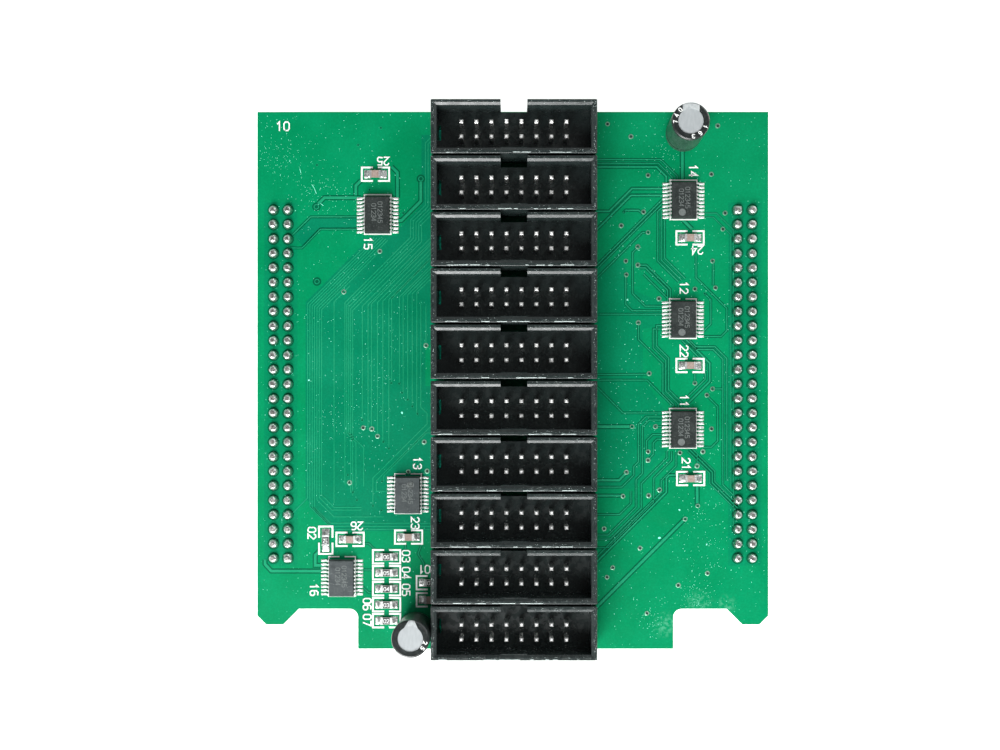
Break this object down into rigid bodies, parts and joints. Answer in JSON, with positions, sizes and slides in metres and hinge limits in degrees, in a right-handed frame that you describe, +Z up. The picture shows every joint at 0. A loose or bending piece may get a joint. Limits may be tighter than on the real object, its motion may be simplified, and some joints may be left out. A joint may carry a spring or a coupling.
{
  "type": "ribbon cable driver board",
  "caption": "Flat circuit board with a row of keyed box headers for ribbon cables, side solder-dome rows over plug-on sockets, buffer chips and upright capacitors.",
  "frame": {"origin": "under the middle of the board, on the plane that the two sockets stand on", "axes": "+X along each box header, +Y from the board's tabbed edge to its plain edge, +Z up through the board towards the box headers' mouths"},
  "size_m": [0.0896, 0.0941, 0.0217],
  "materials": {
    "board": "green solder mask over glass-epoxy laminate",
    "header_plastic": "moulded black, satin",
    "socket_plastic": "moulded black, satin",
    "pin_plating": "bright tin plate",
    "contact_plating": "bright tin plate",
    "solder": "bright reflowed solder",
    "package_plastic": "fine matt moulding compound",
    "lead_plating": "bright tin plate",
    "capacitor_ceramic": "fired tan ceramic",
    "terminal_plating": "tin plate",
    "resistor_ceramic": "white alumina",
    "resistor_coat": "dark glaze",
    "capacitor_sleeve": "shrunk sleeve with one grey stripe",
    "capacitor_can": "drawn aluminium",
    "capacitor_rubber": "moulded rubber",
    "capacitor_foil": "rolled foil and paper",
    "capacitor_lead": "tinned steel wire"
  },
  "bodies": {
    "root": {"buffer_1_leads": "lead_plating", "buffer_1_package": "package_plastic", "buffer_2_leads": "lead_plating", "buffer_2_package": "package_plastic", "buffer_3_leads": "lead_plating", "buffer_3_package": "package_plastic", "buffer_4_leads": "lead_plating", "buffer_4_package": "package_plastic", "buffer_5_leads": "lead_plating", "buffer_5_package": "package_plastic", "buffer_6_leads": "lead_plating", "buffer_6_package": "package_plastic", "capacitor_solder_joints": "solder", "chip_capacitor_bodies": "capacitor_ceramic", "chip_capacitor_terminals": "terminal_plating", "chip_resistor_coats": "resistor_coat", "chip_resistor_substrates": "resistor_ceramic", "chip_resistor_terminals": "terminal_plating", "chip_solder_joints": "solder", "circuit_board": "board", "header_01_housing": "header_plastic", "header_01_pins": "pin_plating", "header_02_housing": "header_plastic", "header_02_pins": "pin_plating", "header_03_housing": "header_plastic", "header_03_pins": "pin_plating", "header_04_housing": "header_plastic", "header_04_pins": "pin_plating", "header_05_housing": "header_plastic", "header_05_pins": "pin_plating", "header_06_housing": "header_plastic", "header_06_pins": "pin_plating", "header_07_housing": "header_plastic", "header_07_pins": "pin_plating", "header_08_housing": "header_plastic", "header_08_pins": "pin_plating", "header_09_housing": "header_plastic", "header_09_pins": "pin_plating", "header_10_housing": "header_plastic", "header_10_pins": "pin_plating", "header_solder_joints": "solder", "left_socket_contacts": "contact_plating", "left_socket_housing": "socket_plastic", "left_socket_solder_joints": "solder", "lower_capacitor_bung": "capacitor_rubber", "lower_capacitor_can": "capacitor_can", "lower_capacitor_leads": "capacitor_lead", "lower_capacitor_sleeve": "capacitor_sleeve", "lower_capacitor_winding": "capacitor_foil", "right_socket_contacts": "contact_plating", "right_socket_housing": "socket_plastic", "right_socket_solder_joints": "solder", "upper_capacitor_bung": "capacitor_rubber", "upper_capacitor_can": "capacitor_can", "upper_capacitor_leads": "capacitor_lead", "upper_capacitor_sleeve": "capacitor_sleeve", "upper_capacitor_winding": "capacitor_foil"}
  },
  "joints": []
}
